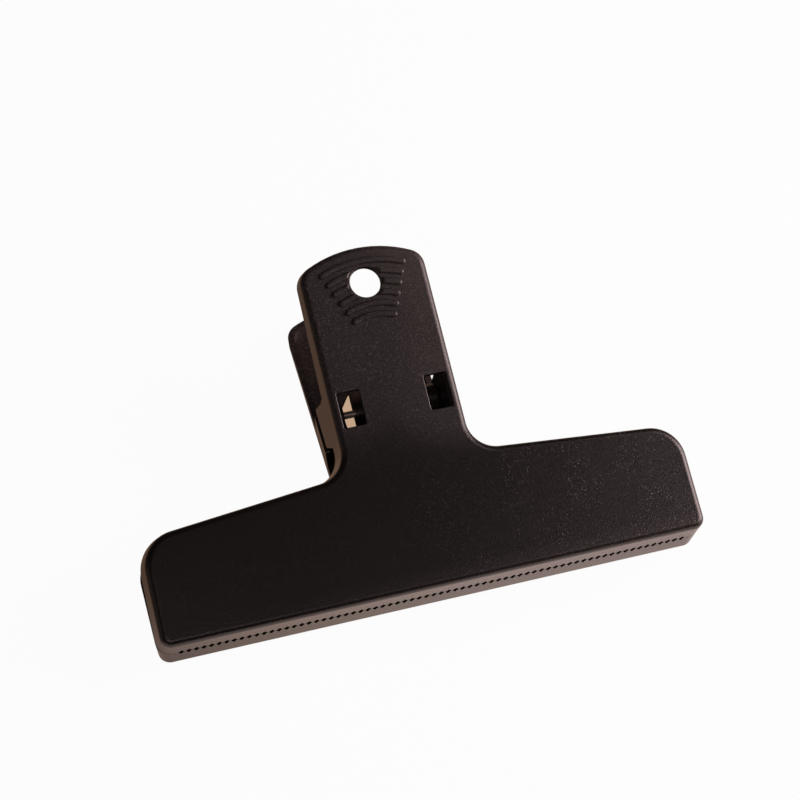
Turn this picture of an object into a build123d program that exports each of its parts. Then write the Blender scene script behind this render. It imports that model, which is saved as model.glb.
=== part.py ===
from build123d import *
from math import acos, atan2, cos, degrees, hypot, radians, sin, sqrt, tan
import os

# Wide plastic bulldog clip: two sprung T-shaped jaw halves on one hinge pin.
# Millimetres. The clip lies on its back half, X along the lips, Y from lips to handle, Z up.
# Each half has a frame of its own: x along the lips, s from the lip towards the handle end,
# w from the outer face inwards.
os.makedirs("parts", exist_ok=True)

# Outline of a jaw half, measured on its outer face
JAW_WIDTH = 152.0
JAW_NARROWING = 0.5
ARM_NECK_HEIGHT = 34.5
ARM_FALL = 5.4
HANDLE_WIDTH = 35.2
LENGTH = 96.3
HANDLE_END_RADIUS = 34.0
LIP_CORNER_RADIUS = 3.0
ARM_CORNER_RADIUS = 9.5
NECK_RADIUS = 8.5
HANDLE_CORNER_RADIUS = 5.0

# Section of a jaw half
LIP_DEPTH = 8.2
HANDLE_END_DEPTH = 5.0
DRAFT = 6.5
PLATE = 2.0
WALL = 1.8
EDGE_ROUND = 1.8

# Side tabs that hide the hinge, flush with the handle walls
TAB_THICKNESS = 1.4
TAB_RISE = 3.0
TAB_DROP = 8.5
TAB_RAMP = 3.0
TAB_GAP = 2.0
TAB_CORNER = 0.8

# Lips and teeth
SPLAY = 18.0
LIP_GAP = 0.2
LIP_THICKNESS = 2.6
TOOTH_MARGIN = 1.0
TOOTH_PITCH = 2.05
TOOTH_TIP = 0.4
TOOTH_HEIGHT = 1.6

# Hang hole and grip ridges
HOLE_RADIUS = 4.35
HOLE_FROM_END = 10.2
HOLE_ROUND = 0.3
RIDGE_PITCH = 3.1
RIDGE_WIDTH = 1.8
RIDGE_HEIGHT = 0.7
RIDGE_LAST_RADIUS = 30.0
RIDGE_CENTRE_DROP = 23.9
RIDGE_HALF_ANGLE = 22.5
RIDGE_ROUND = 0.62
RIDGE_HOLE_MARGIN = 0.5
RIDGE_WINDOW_MARGIN = 3.0

# Hinge: pin, front ears outside and beside the spring, back knuckles between them
PIVOT_FROM_NECK = 19.5
PIN_RADIUS = 1.0
PIN_CHAMFER = 0.25
PIN_PRESS_GAP = 0.01
PIN_RUNNING_GAP = 0.05
PIN_END_PLAY = 0.1
EAR_INSET = 0.5
EAR_THICKNESS = 2.0
EAR_SKIN = 0.8
EAR_RADIUS = 4.8
EAR_FOOT_DROP = 4.0
EAR_FOOT_LENGTH = 23.0
INNER_EAR_THICKNESS = 1.8
INNER_EAR_LENGTH = 14.0
INNER_EAR_REACH = 2.7
INNER_EAR_RISE = 2.2
INNER_EAR_CORNER = 1.5
INNER_EAR_FOOT_LENGTH = 15.0
KNUCKLE_THICKNESS = 2.5
KNUCKLE_RADIUS = 4.0
KNUCKLE_FOOT_LENGTH = 15.0
SIDE_PLAY = 0.3

# Windows: rectangles in the front half, rectangles with a slanted top in the back half
WINDOW_ROUND = 0.3
FRONT_WINDOW_WIDTH = 6.3
FRONT_WINDOW_HEIGHT = 9.9
FRONT_WINDOW_CORNER = 0.5
FRONT_WINDOW_INSET = 2.1
FRONT_WINDOW_DROP = 6.8
BACK_WINDOW_WIDTH = 5.0
BACK_WINDOW_HEIGHT = 14.1
BACK_WINDOW_OUTER_HEIGHT = 7.1
BACK_WINDOW_CORNER = 1.0
BACK_WINDOW_GAP = 3.7
BACK_WINDOW_RISE = 3.9

# Torsion spring
WIRE = 1.5
COIL_DIAMETER = 7.2
COIL_PITCH = 2.1
COIL_TURNS = 6
COIL_SIDE_PLAY = 0.4
SPANS_PER_TURN = 2
LEG_HOLE_GAP = 2.8
LEG_FOOT = 5.0
LEG_BEND = 3.0
SEAT_GAP = 0.1
LEAST_COIL_GAP = 0.4

# Frames of the two halves, mirrored in the plane midway between the lips
slope = tan(radians(DRAFT))
half_splay = radians(SPLAY / 2)
lip_flare = LIP_DEPTH * slope
tip_flare = HANDLE_END_DEPTH * slope
meet_depth = LIP_DEPTH + LIP_GAP / 2
face_distance = 2 * (meet_depth * cos(half_splay) + lip_flare * sin(half_splay))
front_y = -face_distance * sin(half_splay)
front_z = face_distance * cos(half_splay)
edge_reach = (1 / cos(radians(DRAFT)) - slope) * cos(2 * half_splay) + sin(2 * half_splay) - 1
centre_y = (LENGTH + tip_flare + front_y + EDGE_ROUND * edge_reach) / 2
BACK = Plane(origin=(0, -centre_y, RIDGE_HEIGHT), x_dir=(1, 0, 0), z_dir=(0, 0, 1))
FRONT = Plane(
    origin=(0, front_y - centre_y, front_z + RIDGE_HEIGHT),
    x_dir=(-1, 0, 0),
    z_dir=(0, sin(2 * half_splay), -cos(2 * half_splay)),
)

# Places along a half, and the pin midway between the halves
arm_end_height = ARM_NECK_HEIGHT - ARM_FALL
hole_position = LENGTH - HOLE_FROM_END
pivot_position = ARM_NECK_HEIGHT + PIVOT_FROM_NECK
pivot_depth = meet_depth + (pivot_position + lip_flare) * tan(half_splay)
tab_depth = pivot_depth - TAB_GAP / cos(half_splay)
ear_outer = HANDLE_WIDTH / 2 - EAR_INSET
ear_inner = ear_outer - EAR_THICKNESS
bore_end = ear_outer - EAR_SKIN
pin_length = 2 * (bore_end - PIN_END_PLAY)
knuckle_outer = ear_inner - SIDE_PLAY
knuckle_inner = knuckle_outer - KNUCKLE_THICKNESS
back_window_low = pivot_position + BACK_WINDOW_RISE

# Ridges from the handle end down to the back windows
ridge_centre = hole_position - RIDGE_CENTRE_DROP
ridge_end = RIDGE_LAST_RADIUS * cos(radians(RIDGE_HALF_ANGLE))
ridge_low = back_window_low + BACK_WINDOW_HEIGHT + RIDGE_WINDOW_MARGIN - ridge_centre
ridge_count = int(RIDGE_LAST_RADIUS * (1 - ridge_low / ridge_end) / RIDGE_PITCH) + 1

# Spring frame: first axis midway between the handles, second towards the front half, third along the pin.
# The legs push the coil towards the handles until it hangs on the pin.
pivot = BACK.from_local_coords((0, pivot_position, pivot_depth))
coil_radius = COIL_DIAMETER / 2
coil_shift = coil_radius - WIRE / 2 - PIN_RADIUS - SEAT_GAP
along = Vector(0, cos(half_splay), sin(half_splay))
COIL = Plane(origin=pivot + along * coil_shift, x_dir=along, z_dir=(1, 0, 0))
seat_depth = pivot_depth - PLATE - SEAT_GAP - WIRE / 2
leg_reach = hole_position - HOLE_RADIUS - LEG_HOLE_GAP - LEG_FOOT - pivot_position
knee_a = leg_reach * cos(half_splay) - seat_depth * sin(half_splay) - coil_shift
knee_b = -leg_reach * sin(half_splay) - seat_depth * cos(half_splay)
foot_a = knee_a + LEG_FOOT * cos(half_splay)
foot_b = knee_b - LEG_FOOT * sin(half_splay)
leave_angle = degrees(atan2(knee_b, knee_a) - acos(coil_radius / hypot(knee_a, knee_b)))
coil_turn = 360 * COIL_TURNS + 2 * leave_angle
coil_half = COIL_PITCH * coil_turn / 360 / 2
spans = round(coil_turn / 360 * SPANS_PER_TURN)
inner_ear_inner = coil_half + WIRE / 2 + COIL_SIDE_PLAY
inner_ear_outer = inner_ear_inner + INNER_EAR_THICKNESS


def side_plane(frame, shift=0.0):
    """Plane square to the lips, with s across and w up, shifted along them."""
    return Plane(origin=frame.origin, x_dir=frame.y_dir, z_dir=frame.x_dir).offset(shift)


def inward(frame):
    """Axis from the outer face of a half inwards."""
    return Axis(frame.origin, frame.z_dir)


def corners_at(sketch, height):
    """Corners of an outline at one height, without those on its centre line."""
    level = sketch.vertices().filter_by_position(Axis.Y, height - 0.01, height + 0.01)
    return level.filter_by(lambda corner: abs(corner.X) > 1)


def half_outline():
    """T-shaped outline of a jaw half on its outer face."""
    shoulder = LENGTH - HANDLE_END_RADIUS + sqrt(HANDLE_END_RADIUS**2 - (HANDLE_WIDTH / 2) ** 2)
    with BuildSketch() as outline:
        with BuildLine():
            Polyline(
                (0, 0),
                (JAW_WIDTH / 2, 0),
                ((JAW_WIDTH - JAW_NARROWING) / 2, arm_end_height),
                (HANDLE_WIDTH / 2, ARM_NECK_HEIGHT),
                (HANDLE_WIDTH / 2, shoulder),
            )
            RadiusArc((HANDLE_WIDTH / 2, shoulder), (0, LENGTH), -HANDLE_END_RADIUS)
            mirror(about=Plane.YZ)
        make_face()
        fillet(corners_at(outline, 0), LIP_CORNER_RADIUS)
        fillet(corners_at(outline, arm_end_height), ARM_CORNER_RADIUS)
        fillet(corners_at(outline, ARM_NECK_HEIGHT), NECK_RADIUS)
        fillet(corners_at(outline, shoulder), HANDLE_CORNER_RADIUS)
    return outline.sketch


def tray(frame):
    """A jaw half without its hinge and windows: drafted tray, toothed lip, grip ridges, hang hole."""
    outline = half_outline()
    side = side_plane(frame)
    lip_length = JAW_WIDTH - 2 * LIP_CORNER_RADIUS
    tooth_count = int((lip_length - 2 * TOOTH_MARGIN) / TOOTH_PITCH)
    notch = (TOOTH_PITCH - TOOTH_TIP) / 2
    lip_top = Plane(
        origin=frame.from_local_coords((0, -lip_flare, LIP_DEPTH)),
        x_dir=frame.x_dir,
        z_dir=frame.y_dir * -cos(half_splay) - frame.z_dir * sin(half_splay),
    )
    wall_face = Plane(
        origin=frame.from_local_coords((HANDLE_WIDTH / 2, pivot_position, 0)),
        x_dir=frame.y_dir,
        z_dir=frame.x_dir * cos(radians(DRAFT)) - frame.z_dir * sin(radians(DRAFT)),
    )
    with BuildPart() as half:
        # Outer form, with the edge of its face rounded
        with BuildSketch(frame):
            add(outline)
        extrude(amount=LIP_DEPTH, taper=-DRAFT)
        fillet(half.edges().group_by(inward(frame))[0], EDGE_ROUND)
        # Hollow with even walls
        with BuildSketch(frame.offset(PLATE)):
            add(outline)
            offset(amount=PLATE * slope - WALL, mode=Mode.REPLACE)
        extrude(amount=LIP_DEPTH, taper=-DRAFT, mode=Mode.SUBTRACT)
        # Walls get lower from the neck to the handle end
        with BuildSketch(side):
            Polygon(
                (ARM_NECK_HEIGHT, LIP_DEPTH),
                (LENGTH + tip_flare, HANDLE_END_DEPTH),
                (2 * LENGTH, HANDLE_END_DEPTH),
                (2 * LENGTH, 2 * LIP_DEPTH),
                (ARM_NECK_HEIGHT, 2 * LIP_DEPTH),
                align=None,
            )
        extrude(amount=JAW_WIDTH, both=True, mode=Mode.SUBTRACT)
        # Side tabs, their edges parallel to the plane midway between the halves
        with BuildSketch(wall_face) as tab_outline:
            Polygon(
                (TAB_RISE, PLATE),
                (TAB_RISE, tab_depth + TAB_RISE * tan(half_splay)),
                (-TAB_DROP, tab_depth - TAB_DROP * tan(half_splay)),
                (-TAB_DROP - TAB_RAMP, PLATE),
                align=None,
            )
            fillet(tab_outline.vertices().sort_by(Axis.Y)[-2:], TAB_CORNER)
        tab = extrude(amount=-TAB_THICKNESS)
        mirror(tab, about=side)
        # Thicker lip, its top parallel to the plane midway between the halves
        with BuildSketch(side):
            Polygon(
                (0, PLATE),
                (-lip_flare, LIP_DEPTH),
                (LIP_THICKNESS - lip_flare, LIP_DEPTH + LIP_THICKNESS * tan(half_splay)),
                (LIP_THICKNESS - lip_flare, PLATE / 2),
                align=None,
            )
        extrude(amount=lip_length / 2, both=True)
        # Notches between the teeth
        with BuildSketch(lip_top):
            with GridLocations(TOOTH_PITCH, 0, tooth_count, 1):
                Polygon(
                    (-notch * 1.2, TOOTH_HEIGHT * 0.2),
                    (0, -TOOTH_HEIGHT),
                    (notch * 1.2, TOOTH_HEIGHT * 0.2),
                    align=None,
                )
        extrude(amount=2 * LIP_THICKNESS, both=True, mode=Mode.SUBTRACT)
        # Curved grip ridges, stopped short of the hang hole
        with BuildSketch(frame):
            for number in range(ridge_count):
                with BuildLine(mode=Mode.PRIVATE) as ridge:
                    CenterArc(
                        (0, ridge_centre),
                        RIDGE_LAST_RADIUS - number * RIDGE_PITCH,
                        90 - RIDGE_HALF_ANGLE,
                        2 * RIDGE_HALF_ANGLE,
                    )
                SlotArc(ridge.edge(), RIDGE_WIDTH)
            with Locations((0, hole_position)):
                Circle(HOLE_RADIUS + RIDGE_HOLE_MARGIN, mode=Mode.SUBTRACT)
        extrude(amount=-RIDGE_HEIGHT)
        fillet(half.edges().group_by(inward(frame))[0], RIDGE_ROUND)
        # Hang hole
        with BuildSketch(frame):
            with Locations((0, hole_position)):
                Circle(HOLE_RADIUS)
        extrude(amount=PLATE, mode=Mode.SUBTRACT)
        fillet(half.edges(Select.LAST).group_by(inward(frame))[0], HOLE_ROUND)
    return half.part


# Front half: outer ears with blind holes that keep the pin in, inner ears beside the spring
front_tray = tray(FRONT)
window_x = HANDLE_WIDTH / 2 - FRONT_WINDOW_INSET - FRONT_WINDOW_WIDTH / 2
window_s = pivot_position - FRONT_WINDOW_DROP + FRONT_WINDOW_HEIGHT / 2
with BuildPart() as front_shell:
    add(front_tray)
    with BuildSketch(side_plane(FRONT, ear_inner), side_plane(FRONT, -ear_outer)):
        with Locations((pivot_position, pivot_depth)):
            Circle(EAR_RADIUS)
        with Locations((pivot_position - EAR_FOOT_DROP, PLATE)):
            Rectangle(EAR_FOOT_LENGTH, PLATE)
        make_hull()
    extrude(amount=EAR_THICKNESS)
    with BuildSketch(side_plane(FRONT, inner_ear_inner), side_plane(FRONT, -inner_ear_outer)):
        with Locations((pivot_position + INNER_EAR_RISE, pivot_depth)):
            RectangleRounded(INNER_EAR_LENGTH, 2 * INNER_EAR_REACH, INNER_EAR_CORNER)
        with Locations((pivot_position + INNER_EAR_RISE, PLATE)):
            Rectangle(INNER_EAR_FOOT_LENGTH, PLATE)
        make_hull()
    extrude(amount=INNER_EAR_THICKNESS)
    with BuildSketch(side_plane(FRONT, -bore_end)):
        with Locations((pivot_position, pivot_depth)):
            Circle(PIN_RADIUS + PIN_RUNNING_GAP)
    extrude(amount=2 * bore_end, mode=Mode.SUBTRACT)
    with BuildSketch(FRONT):
        with Locations((window_x, window_s), (-window_x, window_s)):
            RectangleRounded(FRONT_WINDOW_WIDTH, FRONT_WINDOW_HEIGHT, FRONT_WINDOW_CORNER)
    extrude(amount=PLATE, mode=Mode.SUBTRACT)
    fillet(front_shell.edges(Select.LAST).group_by(inward(FRONT))[0], WINDOW_ROUND)
front_shell.part.label = "front_shell"
export_step(front_shell.part, "parts/front_shell.step")

# Back half: knuckles between the ears
back_tray = tray(BACK)
window_outer = knuckle_inner - BACK_WINDOW_GAP
with BuildPart() as back_shell:
    add(back_tray)
    with BuildSketch(side_plane(BACK, knuckle_inner), side_plane(BACK, -knuckle_outer)):
        with Locations((pivot_position, pivot_depth)):
            Circle(KNUCKLE_RADIUS)
        with Locations((pivot_position, PLATE)):
            Rectangle(KNUCKLE_FOOT_LENGTH, PLATE)
        make_hull()
        with Locations((pivot_position, pivot_depth)):
            Circle(PIN_RADIUS + PIN_PRESS_GAP, mode=Mode.SUBTRACT)
    extrude(amount=KNUCKLE_THICKNESS)
    with BuildSketch(BACK) as back_windows:
        Polygon(
            (window_outer, back_window_low),
            (window_outer, back_window_low + BACK_WINDOW_OUTER_HEIGHT),
            (window_outer - BACK_WINDOW_WIDTH, back_window_low + BACK_WINDOW_HEIGHT),
            (window_outer - BACK_WINDOW_WIDTH, back_window_low),
            align=None,
        )
        fillet(back_windows.vertices(), BACK_WINDOW_CORNER)
        mirror(about=Plane.YZ)
    extrude(amount=PLATE, mode=Mode.SUBTRACT)
    fillet(back_shell.edges(Select.LAST).group_by(inward(BACK))[0], WINDOW_ROUND)
back_shell.part.label = "back_shell"
export_step(back_shell.part, "parts/back_shell.step")

# Pin through the knuckles, its ends in the ears' blind holes
with BuildPart() as hinge_pin:
    with BuildSketch(side_plane(BACK, -pin_length / 2)):
        with Locations((pivot_position, pivot_depth)):
            Circle(PIN_RADIUS)
    extrude(amount=pin_length)
    chamfer(hinge_pin.edges().filter_by(GeomType.CIRCLE), PIN_CHAMFER)
hinge_pin.part.label = "hinge_pin"
export_step(hinge_pin.part, "parts/hinge_pin.step")


def coil_point(part_way):
    """Point on the coil's centre line, from the back leg (0) to the front leg (1)."""
    angle = radians(leave_angle - part_way * coil_turn)
    return Vector(coil_radius * cos(angle), coil_radius * sin(angle), coil_half * (1 - 2 * part_way))


def coil_heading(part_way):
    """Direction of the wire at a point of the coil, level where it runs into a leg."""
    angle = radians(leave_angle - part_way * coil_turn)
    drop = 0 if part_way in (0, 1) else -2 * coil_half / radians(coil_turn)
    return Vector(coil_radius * sin(angle), -coil_radius * cos(angle), drop).normalized()


def biarc(start, start_heading, end, end_heading):
    """Two arcs that join two points smoothly."""
    chord = end - start
    both = start_heading + end_heading
    bend = 2 * (1 - start_heading.dot(end_heading))
    reach = (sqrt(chord.dot(both) ** 2 + bend * chord.dot(chord)) - chord.dot(both)) / bend
    first = start + start_heading * reach
    second = end - end_heading * reach
    TangentArc(start, (first + second) * 0.5, tangent=start_heading)
    TangentArc((first + second) * 0.5, end, tangent=second - first)


with BuildLine() as wire_path:
    FilletPolyline(
        (foot_a, foot_b, coil_half),
        (knee_a, knee_b, coil_half),
        coil_point(0),
        radius=LEG_BEND,
    )
    for number in range(spans):
        near = number / spans
        far = (number + 1) / spans
        biarc(coil_point(near), coil_heading(near), coil_point(far), coil_heading(far))
    FilletPolyline(
        coil_point(1),
        (knee_a, -knee_b, -coil_half),
        (foot_a, -foot_b, -coil_half),
        radius=LEG_BEND,
    )

wire_run = wire_path.wire().moved(COIL.location)

# Least gap between parts of the wire that are more than half a turn apart
samples = round(wire_run.length / (WIRE / 4))
half_turn = round(samples * 3 * coil_radius / wire_run.length)
places = [wire_run.position_at(number / samples) for number in range(samples + 1)]
least_gap = min(
    (places[i] - places[j]).length - WIRE
    for i in range(samples + 1)
    for j in range(i + half_turn, samples + 1)
)
print(f"least gap between spring coils {least_gap:.2f} mm, wanted over {LEAST_COIL_GAP}")

with BuildPart() as torsion_spring:
    with BuildSketch(Plane(origin=wire_run @ 0, z_dir=wire_run % 0)):
        Circle(WIRE / 2)
    sweep(path=wire_run)
torsion_spring.part.label = "torsion_spring"
export_step(torsion_spring.part, "parts/torsion_spring.step")
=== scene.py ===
"""Looks of a wide bulldog clip: satin black mouldings, a steel pin and a torsion spring."""

import logging
import math
from dataclasses import dataclass
from enum import Enum

import bmesh
import bpy
from mathutils import Matrix, Vector


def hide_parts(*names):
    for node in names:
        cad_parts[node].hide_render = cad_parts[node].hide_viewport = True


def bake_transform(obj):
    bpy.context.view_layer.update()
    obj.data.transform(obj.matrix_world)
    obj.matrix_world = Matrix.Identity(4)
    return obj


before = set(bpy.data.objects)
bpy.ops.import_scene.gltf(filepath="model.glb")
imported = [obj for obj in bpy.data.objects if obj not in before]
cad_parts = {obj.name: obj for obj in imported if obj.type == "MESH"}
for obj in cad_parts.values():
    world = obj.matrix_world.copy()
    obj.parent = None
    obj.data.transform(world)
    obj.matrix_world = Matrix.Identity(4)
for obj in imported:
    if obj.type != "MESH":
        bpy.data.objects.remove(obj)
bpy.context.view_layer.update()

MM = 0.001
LOG = logging.getLogger("bulldog_clip")

Axes = tuple[float, float, float]
Colour = tuple[float, float, float]
BLACK: Colour = (0.0, 0.0, 0.0)
WHITE: Colour = (1.0, 1.0, 1.0)


class Body(Enum):
    """Rigid bodies of the clip."""

    BACK = "back_half"
    FRONT = "front_half"


class Node(Enum):
    """Solids of the clip."""

    FRONT_SHELL = "front_shell"
    BACK_SHELL = "back_shell"
    PIN = "hinge_pin"
    SPRING = "torsion_spring"


@dataclass(frozen=True)
class Fade:
    """A smooth change from one value to another, held at both ends.

    Attributes:
        low: Input that gives start.
        high: Input that gives end.
        start: Result at low.
        end: Result at high.
    """

    low: float
    high: float
    start: float = 0.0
    end: float = 1.0


@dataclass(frozen=True)
class Noise:
    """A cloudy pattern over a piece, about 0.5 on average.

    Attributes:
        scale: Cells per metre.
        detail: Octaves.
        rough: Weight of the finer octaves.
        stretch: Factor along each axis.
    """

    scale: float
    detail: float = 2.0
    rough: float = 0.5
    stretch: Axes = (1.0, 1.0, 1.0)


@dataclass(frozen=True)
class Softbox:
    """A square soft lamp that faces the clip.

    Attributes:
        name: Name of the lamp.
        at: Its place, in metres.
        size: Its width, in metres.
        power: Its power, in watts.
    """

    name: str
    at: Axes
    size: float
    power: float


class Graph:
    """A node material under construction."""

    def __init__(self, name: str) -> None:
        """Start a material with only its output and main shader.

        Args:
            name: Name of the material.
        """
        self.material = bpy.data.materials.new(name)
        self.material.use_nodes = True
        self.tree = self.material.node_tree
        self.tree.nodes.clear()
        self.output = self.add("ShaderNodeOutputMaterial")
        self.shader = self.add("ShaderNodeBsdfPrincipled")
        self.link(self.shader.outputs["BSDF"], self.output.inputs["Surface"])
        self.place = self.add("ShaderNodeTexCoord").outputs["Object"]

    def add(self, kind: str, **values: object) -> bpy.types.Node:
        """Add a node.

        Args:
            kind: Blender's name for the node.
            values: Attributes of the node, such as its operation.

        Returns:
            The new node.
        """
        node = self.tree.nodes.new(kind)
        for key, value in values.items():
            setattr(node, key, value)
        return node

    def link(self, source: bpy.types.NodeSocket, target: bpy.types.NodeSocket) -> None:
        """Join two sockets."""
        self.tree.links.new(source, target)

    def feed(self, target: bpy.types.NodeSocket, value: object) -> None:
        """Link a socket to another, or set its value.

        Args:
            target: Socket to fill.
            value: A socket, number or colour.
        """
        if isinstance(value, bpy.types.NodeSocket):
            self.link(value, target)
        else:
            target.default_value = value

    def noise(self, noise: Noise) -> bpy.types.NodeSocket:
        """Lay a cloudy pattern over the piece.

        Args:
            noise: The pattern.

        Returns:
            Its value.
        """
        place = self.add("ShaderNodeMapping")
        place.inputs["Scale"].default_value = noise.stretch
        self.link(self.place, place.inputs["Vector"])
        node = self.add("ShaderNodeTexNoise")
        node.inputs["Scale"].default_value = noise.scale
        node.inputs["Detail"].default_value = noise.detail
        node.inputs["Roughness"].default_value = noise.rough
        self.link(place.outputs["Vector"], node.inputs["Vector"])
        return node.outputs["Fac"]

    def dots(self, scale: float) -> bpy.types.NodeSocket:
        """Distance to the nearest of many scattered points.

        Args:
            scale: Points per metre.

        Returns:
            The distance, in spacings of the points.
        """
        node = self.add("ShaderNodeTexVoronoi", feature="F1")
        node.inputs["Scale"].default_value = scale
        self.link(self.place, node.inputs["Vector"])
        return node.outputs["Distance"]

    def along(self, axis: str) -> bpy.types.NodeSocket:
        """One object coordinate.

        Args:
            axis: X, Y or Z.

        Returns:
            The coordinate, in metres.
        """
        node = self.add("ShaderNodeSeparateXYZ")
        self.link(self.place, node.inputs[0])
        return node.outputs[axis]

    def distance(self, point: Vector) -> bpy.types.NodeSocket:
        """Distance from a point.

        Args:
            point: The point.

        Returns:
            The distance, in metres.
        """
        node = self.add("ShaderNodeVectorMath", operation="DISTANCE")
        self.link(self.place, node.inputs[0])
        node.inputs[1].default_value = point
        return node.outputs["Value"]

    def math(self, operation: str, first: object, second: object = 0.0) -> bpy.types.NodeSocket:
        """One sum on numbers.

        Args:
            operation: Blender's name for it.
            first: Left value.
            second: Right value, where the sum has one.

        Returns:
            The result.
        """
        node = self.add("ShaderNodeMath", operation=operation)
        self.feed(node.inputs[0], first)
        self.feed(node.inputs[1], second)
        return node.outputs[0]

    def times(self, first: object, *others: object) -> bpy.types.NodeSocket:
        """Product of two or more numbers.

        Args:
            first: The first number.
            others: The numbers it is multiplied by.

        Returns:
            The product.
        """
        for other in others:
            first = self.math("MULTIPLY", first, other)
        return first

    def fade(self, value: bpy.types.NodeSocket, fade: Fade) -> bpy.types.NodeSocket:
        """Map a value by a smooth change.

        Args:
            value: Value to map.
            fade: The change.

        Returns:
            The mapped value.
        """
        node = self.add("ShaderNodeMapRange", interpolation_type="SMOOTHSTEP")
        self.link(value, node.inputs["Value"])
        node.inputs["From Min"].default_value = fade.low
        node.inputs["From Max"].default_value = fade.high
        node.inputs["To Min"].default_value = fade.start
        node.inputs["To Max"].default_value = fade.end
        return node.outputs["Result"]

    def mix(self, amount: bpy.types.NodeSocket, first: object, second: object) -> bpy.types.NodeSocket:
        """Blend two colours.

        Args:
            amount: Share of the second.
            first: Colour or socket.
            second: Colour or socket.

        Returns:
            The blend.
        """
        node = self.add("ShaderNodeMix", data_type="RGBA")
        self.link(amount, node.inputs["Factor"])
        for socket, colour in ((node.inputs[6], first), (node.inputs[7], second)):
            self.feed(socket, colour if isinstance(colour, bpy.types.NodeSocket) else (*colour, 1.0))
        return node.outputs[2]

    def bump(self, height: bpy.types.NodeSocket, depth: float, strength: float) -> None:
        """Raise the surface by a height map.

        Args:
            height: Height from 0 to 1.
            depth: Height of 1, in metres.
            strength: Share of the effect.
        """
        node = self.add("ShaderNodeBump")
        node.inputs["Strength"].default_value = strength
        node.inputs["Distance"].default_value = depth
        self.link(height, node.inputs["Height"])
        self.link(node.outputs["Normal"], self.shader.inputs["Normal"])


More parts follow.
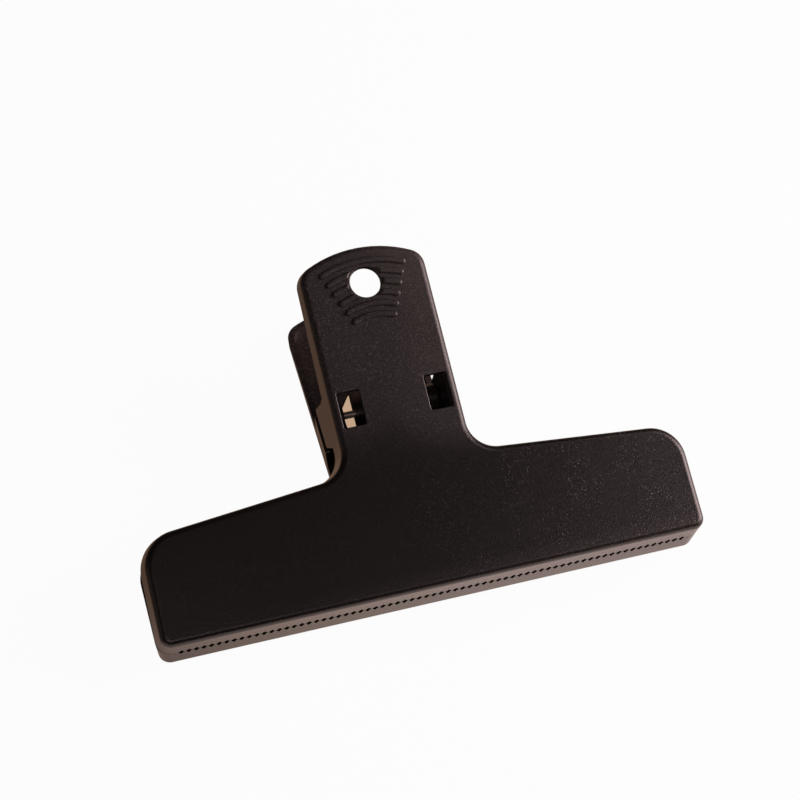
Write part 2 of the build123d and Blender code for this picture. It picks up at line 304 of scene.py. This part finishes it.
@dataclass(frozen=True)
class SatinPlastic:
    """Black moulded plastic with a pebbled grain, a lighter haze that is partly grime from use and partly
    painted sheen, a painted highlight strip, painted glints and fine dust.

    Attributes:
        name: Name of the material.
        colour: Colour of the clean plastic.
        film_and_sheen: Colour of the lighter haze on the handle and the +X arm: partly grime from use, partly
            a painted sheen where more light falls.
        painted_glint: Colour of the glints painted on the tops of the grain.
        dust: Colour of the specks.
        roughness: Roughness of the clean plastic.
        refraction: Index of refraction.
        dustiness: How much dust lies on it, from 0 to 1.
        film_and_sheen_share: Strength of the haze and painted sheen, from 0 to 1.
        grain: Pebbles of the moulded surface.
        grain_depth: Height of the pebbles.
        grain_strength: Share of that height that shows.
        grain_tops: Which heights of the grain are tops.
        tops_glint: Strength of the painted glints on the tops, by the haze and sheen mask.
        film_full: Value of the haze and sheen mask at which the haze is at its roughest.
        film_roughness: Roughness that the haze adds.
        film_cloud: Pattern of the haze's patches.
        film_patches: Strength of the haze and painted sheen, by that pattern.
        handle_across: Strength of the haze and painted sheen across the handle, by X, growing towards +X
            where more light falls.
        handle_foot: Where the haze and painted sheen start on the neck, by Y.
        handle_end: What the haze and painted sheen gain towards the handle's end, by Y.
        arm_along: Strength of the haze and painted sheen along the arms, by X, growing towards the +X end
            where more light falls.
        strip_along: Strength of the highlight strip painted along the lower edge, by X.
        strip_across: Width of that strip, by Y.
        dust_along: Spread of the dust along the arms, by X.
        dust_up: Spread of the dust up the handle, by Y.
        dust_cloud: Pattern of the dust's patches.
        dust_patches: Strength of the dust, by that pattern.
        speck_count: Places for a speck, per metre.
        speck_edge: Edge of a speck, by the distance from its middle.
        speck_choice: Pattern that picks the places that have a speck.
        speck_share: Which values of that pattern have one.
        speck_roughness: Roughness that a speck adds.
        speck_height: Height of a speck, as a share of the grain's.
    """

    name: str
    colour: Colour = (0.0026, 0.0021, 0.002)
    # Partly grime from use, partly a painted sheen: a lighter colour where the handle and the +X arm catch
    # more light.
    film_and_sheen: Colour = (0.033, 0.028, 0.0278)
    # Painted glints: a lighter colour on the tops of the grain.
    painted_glint: Colour = (0.11, 0.095, 0.095)
    dust: Colour = (0.72, 0.66, 0.65)
    roughness: float = 0.27
    refraction: float = 1.56
    dustiness: float = 0.6
    film_and_sheen_share: float = 0.6
    grain: Noise = Noise(2300.0, 3.0, 0.65)
    grain_depth: float = 0.08 * MM
    grain_strength: float = 0.7
    grain_tops: Fade = Fade(0.54, 0.66)
    tops_glint: Fade = Fade(0.0, 0.5, 0.05, 0.6)
    film_full: float = 0.45
    film_roughness: float = 0.1
    film_cloud: Noise = Noise(55.0, 4.0, 0.6)
    film_patches: Fade = Fade(0.3, 0.7, 0.75, 1.15)
    # Painted sheen: the haze grows across the handle towards +X, towards the handle's end and along the +X
    # arm, where more light falls.
    handle_across: Fade = Fade(-5 * MM, 20 * MM, 0.45, 1.35)
    handle_foot: Fade = Fade(-24 * MM, 10 * MM)
    handle_end: Fade = Fade(15 * MM, 45 * MM, 0.0, 0.7)
    arm_along: Fade = Fade(-5 * MM, 80 * MM, 0.0, 0.18)
    # Painted highlight: a lighter strip along the face's lower edge.
    strip_along: Fade = Fade(-70 * MM, 40 * MM, 0.05, 0.5)
    strip_across: Fade = Fade(-48 * MM, -44.5 * MM, 1.0, 0.0)
    dust_along: Fade = Fade(-15 * MM, 55 * MM, 0.03, 1.0)
    dust_up: Fade = Fade(-15 * MM, 15 * MM, 0.0, 0.4)
    dust_cloud: Noise = Noise(62.0, 4.0, 0.7)
    dust_patches: Fade = Fade(0.42, 0.64, 0.25, 1.0)
    speck_count: float = 2700.0
    speck_edge: Fade = Fade(0.14, 0.32, 1.0, 0.0)
    speck_choice: Noise = Noise(1700.0)
    speck_share: Fade = Fade(0.52, 0.6)
    speck_roughness: float = 0.4
    speck_height: float = 0.6

    def build(self) -> bpy.types.Material:
        """Make the material.

        Returns:
            The finished material.
        """
        graph = Graph(self.name)
        film_and_sheen_mask = self.film_and_sheen_mask(graph)
        specks = self.specks(graph)
        grain = graph.noise(self.grain)
        self.paint(graph, film_and_sheen_mask, specks, grain)
        film_rough = Fade(0.0, self.film_full, self.roughness, self.roughness + self.film_roughness)
        speck_rough = graph.times(specks, self.speck_roughness)
        rough = graph.math("ADD", graph.fade(film_and_sheen_mask, film_rough), speck_rough)
        graph.link(rough, graph.shader.inputs["Roughness"])
        graph.shader.inputs["IOR"].default_value = self.refraction
        height = graph.math("ADD", grain, graph.times(specks, self.speck_height))
        graph.bump(height, self.grain_depth, self.grain_strength)
        return graph.material

    def paint(
        self,
        graph: Graph,
        film_and_sheen_mask: bpy.types.NodeSocket,
        specks: bpy.types.NodeSocket,
        grain: bpy.types.NodeSocket,
    ) -> None:
        """Lay the haze and painted sheen, the painted highlight strip, the glints painted on the grain's tops
        and the dust over the plastic's colour.

        Args:
            graph: Material under construction.
            film_and_sheen_mask: Mask of the haze and painted sheen.
            specks: Mask of the dust specks.
            grain: Height of the grain.
        """
        # Painted highlight: the strip along the lower edge is added to the haze and painted sheen.
        lightened = graph.math("ADD", film_and_sheen_mask, self.strip(graph))
        body = graph.mix(graph.times(lightened, self.film_and_sheen_share), self.colour, self.film_and_sheen)
        # Painted glints on the tops of the grain, stronger where the painted sheen is.
        tops = graph.times(graph.fade(grain, self.grain_tops), graph.fade(film_and_sheen_mask, self.tops_glint))
        glinted = graph.mix(tops, body, self.painted_glint)
        graph.link(graph.mix(specks, glinted, self.dust), graph.shader.inputs["Base Color"])

    def film_and_sheen_mask(self, graph: Graph) -> bpy.types.NodeSocket:
        """Mask of the lighter haze, partly grime from use and partly painted sheen, on the handle and towards
        the end of the +X arm.

        Args:
            graph: Material under construction.

        Returns:
            The mask.
        """
        # Painted sheen: lighter towards +X and towards the handle's end, where more light falls.
        foot = graph.fade(graph.along("Y"), self.handle_foot)
        end = graph.fade(graph.along("Y"), self.handle_end)
        across = graph.fade(graph.along("X"), self.handle_across)
        handle = graph.times(graph.math("ADD", foot, end), across)
        arm = graph.fade(graph.along("X"), self.arm_along)
        patches = graph.fade(graph.noise(self.film_cloud), self.film_patches)
        return graph.times(graph.math("MAXIMUM", handle, arm), patches)

    def strip(self, graph: Graph) -> bpy.types.NodeSocket:
        """Mask of a highlight strip painted along the face's lower edge, stronger towards +X.

        Args:
            graph: Material under construction.

        Returns:
            The mask.
        """
        across = graph.fade(graph.along("Y"), self.strip_across)
        return graph.times(across, graph.fade(graph.along("X"), self.strip_along))

    def specks(self, graph: Graph) -> bpy.types.NodeSocket:
        """Mask of the dust specks, which lie in patches and thicken towards the end of the +X arm.

        Args:
            graph: Material under construction.

        Returns:
            The mask.
        """
        along = graph.fade(graph.along("X"), self.dust_along)
        spread = graph.math("MAXIMUM", along, graph.fade(graph.along("Y"), self.dust_up))
        patches = graph.fade(graph.noise(self.dust_cloud), self.dust_patches)
        dots = graph.fade(graph.dots(self.speck_count), self.speck_edge)
        chosen = graph.fade(graph.noise(self.speck_choice), self.speck_share)
        return graph.times(dots, chosen, graph.times(patches, spread, self.dustiness))


@dataclass(frozen=True)
class DrawnSteel:
    """Bright steel with fine drawing lines and light tarnish.

    Attributes:
        name: Name of the material.
        colour: Colour of clean metal.
        tarnish: Colour of dull patches.
        roughness: Roughness of clean metal.
        lines: Drawing lines per metre.
        line_stretch: Factor on the lines' pattern along each axis, which draws it out along X.
        line_depth: Depth of the lines.
        line_strength: Share of that depth that shows.
        tarnish_cloud: Pattern of the dull patches.
        tarnish_edge: Which values of that pattern are dull.
        tarnish_roughness: Roughness that the tarnish adds.
    """

    name: str
    colour: Colour
    tarnish: Colour
    roughness: float
    lines: float
    line_stretch: Axes = (0.04, 1.0, 1.0)
    line_depth: float = 0.01 * MM
    line_strength: float = 0.3
    tarnish_cloud: Noise = Noise(220.0, 4.0, 0.6)
    tarnish_edge: Fade = Fade(0.42, 0.66)
    tarnish_roughness: float = 0.16

    def build(self) -> bpy.types.Material:
        """Make the material.

        Returns:
            The finished material.
        """
        graph = Graph(self.name)
        graph.shader.inputs["Metallic"].default_value = 1.0
        dull = graph.fade(graph.noise(self.tarnish_cloud), self.tarnish_edge)
        graph.link(graph.mix(dull, self.colour, self.tarnish), graph.shader.inputs["Base Color"])
        dull_rough = Fade(0.0, 1.0, self.roughness, self.roughness + self.tarnish_roughness)
        graph.link(graph.fade(dull, dull_rough), graph.shader.inputs["Roughness"])
        lines = graph.noise(Noise(self.lines, stretch=self.line_stretch))
        graph.bump(lines, self.line_depth, self.line_strength)
        return graph.material


@dataclass
class Shells:
    """The two jaw halves, kept as their solids with a moulded finish.

    Attributes:
        front: Finish of the front half.
        back: Finish of the back half.
    """

    front: SatinPlastic = SatinPlastic("front_satin_plastic", dustiness=0.5)
    # The back half's warmer haze paints the tan reflection that its rim and tabs pick up.
    back: SatinPlastic = SatinPlastic(
        "back_satin_plastic", film_and_sheen=(0.036, 0.023, 0.019), dustiness=0.2, film_and_sheen_share=0.5
    )

    def dress(self) -> None:
        """Give each half its finish."""
        for node, finish in ((Node.FRONT_SHELL, self.front), (Node.BACK_SHELL, self.back)):
            set_material(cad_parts[node.value], finish.build())
            LOG.info("dressed %s", node.value)


@dataclass
class Pin:
    """The hinge pin, kept as its solid.

    Attributes:
        finish: Finish of the pin.
    """

    finish: DrawnSteel = DrawnSteel("pin_bright_steel", (0.9, 0.86, 0.8), (0.74, 0.68, 0.6), 0.36, 9000.0)

    def dress(self) -> None:
        """Give the pin its finish."""
        set_material(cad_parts[Node.PIN.value], self.finish.build())
        LOG.info("dressed %s", Node.PIN.value)


@dataclass
class Spring:
    """The torsion spring, remade from its solid's surface.

    Attributes:
        finish: Finish of the wire.
        slot: Not used.
        reach: Distance from the pin, square to the middle plane; not used.
        splay: Angle of the middle plane, in degrees; not used.
        merge: Distance within which the solid's loose corners are joined.
        smooth_angle: Angle up to which the wire's edges are shaded smooth, in degrees.
    """

    finish: DrawnSteel = DrawnSteel("spring_drawn_wire", (0.42, 0.41, 0.4), (0.26, 0.24, 0.22), 0.3, 7000.0)
    slot: str = "spring_steel"
    reach: float = 4.4 * MM
    splay: float = 9.0
    merge: float = 0.002 * MM
    smooth_angle: float = 50.0

    def build(self) -> bpy.types.Object:
        """Make the wire from the solid's own surface and hide the solid.

        Returns:
            The wire.
        """
        shape = bmesh.new()
        shape.from_mesh(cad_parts[Node.SPRING.value].data)
        bmesh.ops.remove_doubles(shape, verts=shape.verts, dist=self.merge)
        wire = finish_mesh("spring_wire", shape, self.finish.build(), self.smooth_angle)
        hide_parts(Node.SPRING.value)
        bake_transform(wire)
        LOG.info("built %s", wire.name)
        return wire


@dataclass
class Studio:
    """Floor, lights and camera.

    Attributes:
        camera_at: Place of the camera.
        aim: Point that the camera and the lamps face.
        roll: Turn of the camera about its line of sight, in degrees.
        lens: Focal length, in millimetres.
        sensor: Width of the picture behind the lens, in millimetres.
        nearest: Least distance at which the camera sees.
        floor_size: Width of the floor.
        floor_colour: Colour of the floor.
        floor_roughness: Roughness of the floor.
        white_share: Share of plain white in the floor as the camera sees it.
        shade_colour: Colour of a shade painted on the floor under the hinge, which shows through the windows.
        shade_at: Middle of that painted shade.
        shade_radius: Its radius.
        shade_core: Share of the radius that is fully shaded.
        mirror_light: Colour of the floor in front of the lips, as glossy surfaces mirror it: painted light,
            brighter than white.
        mirror_dark: Colour of the floor beside and behind the handle, as glossy surfaces mirror it: a painted
            shadow of the clip.
        mirror_side: Colour of the floor beyond the -X end of the jaw, as glossy surfaces mirror it: a darker
            painted shadow.
        mirror_lean: How far the light floor reaches back towards +X, per metre.
        mirror_front: Where the light floor starts, by the distance in front.
        mirror_end: Where the floor beyond the jaw's end gives way, by X.
        under_side: Sides of the black shadow painted under the handle in the mirrored floor, by the distance
            from the middle.
        under_front: Front edge of that painted shadow, by Y.
        lamp_colour: Colour of the lamps.
        world_strength: Strength of the light from all round.
        softboxes: The lamps.
    """

    camera_at: Vector = Vector((-121.38, -287.83, 540.49)) * MM
    aim: Vector = Vector((1.95, 0.98, 30.25)) * MM
    roll: float = 8.24
    lens: float = 98.77
    sensor: float = 36.0
    nearest: float = 10.0 * MM
    floor_size: float = 6.0
    floor_colour: Colour = (0.7, 0.88, 0.9)
    floor_roughness: float = 0.9
    white_share: float = 0.96
    # A shade painted on the floor under the hinge, seen through the windows.
    shade_colour: Colour = (0.56, 0.38, 0.25)
    shade_at: Vector = Vector((0.0, 16.0, 0.0)) * MM
    shade_radius: float = 15.0 * MM
    shade_core: float = 0.9
    # Painted light and shadow on the floor, as glossy surfaces mirror it.
    mirror_light: Colour = (1.16, 0.89, 0.81)
    mirror_dark: Colour = (0.41, 0.245, 0.165)
    mirror_side: Colour = (0.25, 0.15, 0.1)
    mirror_lean: float = 0.3
    mirror_front: Fade = Fade(-5 * MM, 70 * MM)
    mirror_end: Fade = Fade(-75 * MM, -45 * MM)
    under_side: Fade = Fade(16 * MM, 21 * MM)
    under_front: Fade = Fade(-20 * MM, 0.0, 1.0, 0.0)
    lamp_colour: Colour = (1.0, 0.78, 0.77)
    world_strength: float = 0.035
    softboxes: tuple[Softbox, ...] = (
        Softbox("key_softbox", (0.64, -0.08, 0.35), size=0.5, power=6.6),
        Softbox("sheen_softbox", (0.34, 0.14, 0.6), size=0.2, power=0.16),
        Softbox("front_softbox", (-0.15, -0.4, 0.72), size=0.12, power=0.36),
        Softbox("edge_softbox", (0.27, -0.315, 0.62), size=0.12, power=0.13),
        Softbox("left_softbox", (-0.68, -0.05, 0.3), size=0.4, power=0.12),
    )

    def build(self) -> None:
        """Set up everything round the clip."""
        self.floor()
        self.world()
        for softbox in self.softboxes:
            self.lamp(softbox)
        self.camera()

    def floor(self) -> None:
        """Lay a pale floor that shows white but keeps the shadow, with a shade painted under the hinge and
        painted light and shadow where glossy surfaces mirror it.
        """
        shape = bmesh.new()
        bmesh.ops.create_grid(shape, x_segments=2, y_segments=2, size=self.floor_size / 2)
        graph = Graph("pale_floor")
        graph.shader.inputs["Base Color"].default_value = (*self.floor_colour, 1.0)
        graph.shader.inputs["Roughness"].default_value = self.floor_roughness
        graph.shader.inputs["Specular IOR Level"].default_value = 0.0
        path = graph.add("ShaderNodeLightPath")
        seen = path.outputs["Is Camera Ray"]
        mirrored = graph.math("MAXIMUM", path.outputs["Is Glossy Ray"], path.outputs["Is Transmission Ray"])
        glow = graph.add("ShaderNodeEmission")
        # The glow paints white with a shade for the camera, and lit floor and shadow for glossy rays.
        graph.link(graph.mix(seen, self.mirrored_floor(graph), self.seen_floor(graph)), glow.inputs["Color"])
        blend = graph.add("ShaderNodeMixShader")
        graph.link(graph.math("MAXIMUM", graph.times(seen, self.white_share), mirrored), blend.inputs[0])
        graph.link(graph.shader.outputs["BSDF"], blend.inputs[1])
        graph.link(glow.outputs["Emission"], blend.inputs[2])
        graph.link(blend.outputs[0], graph.output.inputs["Surface"])
        finish_mesh("floor", shape, graph.material)

    def mirrored_floor(self, graph: Graph) -> bpy.types.NodeSocket:
        """Colour of the floor in glossy surfaces: painted light in front, painted shadow behind, a black
        painted shadow under the handle.

        Args:
            graph: Material under construction.

        Returns:
            The colour.
        """
        # Painted light in front of the lips, painted shadow behind and beyond the -X end.
        lean = graph.times(graph.along("X"), self.mirror_lean)
        front = graph.fade(graph.math("SUBTRACT", lean, graph.along("Y")), self.mirror_front)
        behind = graph.mix(graph.fade(graph.along("X"), self.mirror_end), self.mirror_side, self.mirror_dark)
        # Painted shadow: black under the handle.
        beside = graph.fade(graph.math("ABSOLUTE", graph.along("X")), self.under_side)
        before = graph.fade(graph.along("Y"), self.under_front)
        in_open = graph.math("MAXIMUM", beside, before)
        return graph.mix(in_open, BLACK, graph.mix(front, behind, self.mirror_light))

    def seen_floor(self, graph: Graph) -> bpy.types.NodeSocket:
        """Colour of the floor to the camera: white, with a shade painted under the hinge.

        Args:
            graph: Material under construction.

        Returns:
            The colour.
        """
        edge = Fade(self.shade_radius * self.shade_core, self.shade_radius, 1.0, 0.0)
        # Painted shade: tan under the hinge, white elsewhere.
        return graph.mix(graph.fade(graph.distance(self.shade_at), edge), WHITE, self.shade_colour)

    def world(self) -> None:
        """Light everything softly from all round."""
        world = bpy.data.worlds.new("studio")
        world.use_nodes = True
        back = world.node_tree.nodes["Background"]
        back.inputs["Color"].default_value = (*self.lamp_colour, 1.0)
        back.inputs["Strength"].default_value = self.world_strength
        bpy.context.scene.world = world

    def lamp(self, softbox: Softbox) -> None:
        """Hang a lamp.

        Args:
            softbox: The lamp's place, size and power.
        """
        light = bpy.data.lights.new(softbox.name, "AREA")
        light.shape = "SQUARE"
        light.size = softbox.size
        light.energy = softbox.power
        light.color = self.lamp_colour
        lamp = bpy.data.objects.new(softbox.name, light)
        lamp.location = softbox.at
        lamp.rotation_euler = (self.aim - Vector(softbox.at)).to_track_quat("-Z", "Y").to_euler()
        bpy.context.scene.collection.objects.link(lamp)

    def camera(self) -> None:
        """Put the camera where the picture was taken from."""
        lens = bpy.data.cameras.new("camera")
        lens.lens = self.lens
        lens.sensor_width = self.sensor
        lens.clip_start = self.nearest
        camera = bpy.data.objects.new("camera", lens)
        sight = (self.aim - self.camera_at).to_track_quat("-Z", "Y").to_matrix().to_4x4()
        turn = Matrix.Rotation(math.radians(self.roll), 4, "Z")
        camera.matrix_world = Matrix.Translation(self.camera_at) @ sight @ turn
        bpy.context.scene.collection.objects.link(camera)
        bpy.context.scene.camera = camera


def set_material(piece: bpy.types.Object, material: bpy.types.Material) -> None:
    """Give a piece one material all over.

    Args:
        piece: Piece to dress.
        material: Its material.
    """
    piece.data.materials.clear()
    piece.data.materials.append(material)


def finish_mesh(
    name: str, shape: bmesh.types.BMesh, material: bpy.types.Material, smooth_angle: float | None = None
) -> bpy.types.Object:
    """Turn a bmesh into an object in the scene.

    Args:
        name: Name of the object.
        shape: Its mesh, which is freed.
        material: Its material.
        smooth_angle: Angle in degrees up to which edges are shaded smooth, or None for flat faces.

    Returns:
        The object.
    """
    mesh = bpy.data.meshes.new(name)
    shape.to_mesh(mesh)
    shape.free()
    piece = bpy.data.objects.new(name, mesh)
    bpy.context.scene.collection.objects.link(piece)
    set_material(piece, material)
    if smooth_angle is not None:
        mesh.shade_smooth()
        mesh.set_sharp_from_angle(angle=math.radians(smooth_angle))
    return piece


def main() -> None:
    """Dress the clip and set the stage."""
    logging.basicConfig(level=logging.INFO, format="%(name)s: %(message)s")
    bpy.context.scene.view_settings.view_transform = "Standard"
    Shells().dress()
    Pin().dress()
    Spring().build()
    Studio().build()


if __name__ == "__main__":
    main()
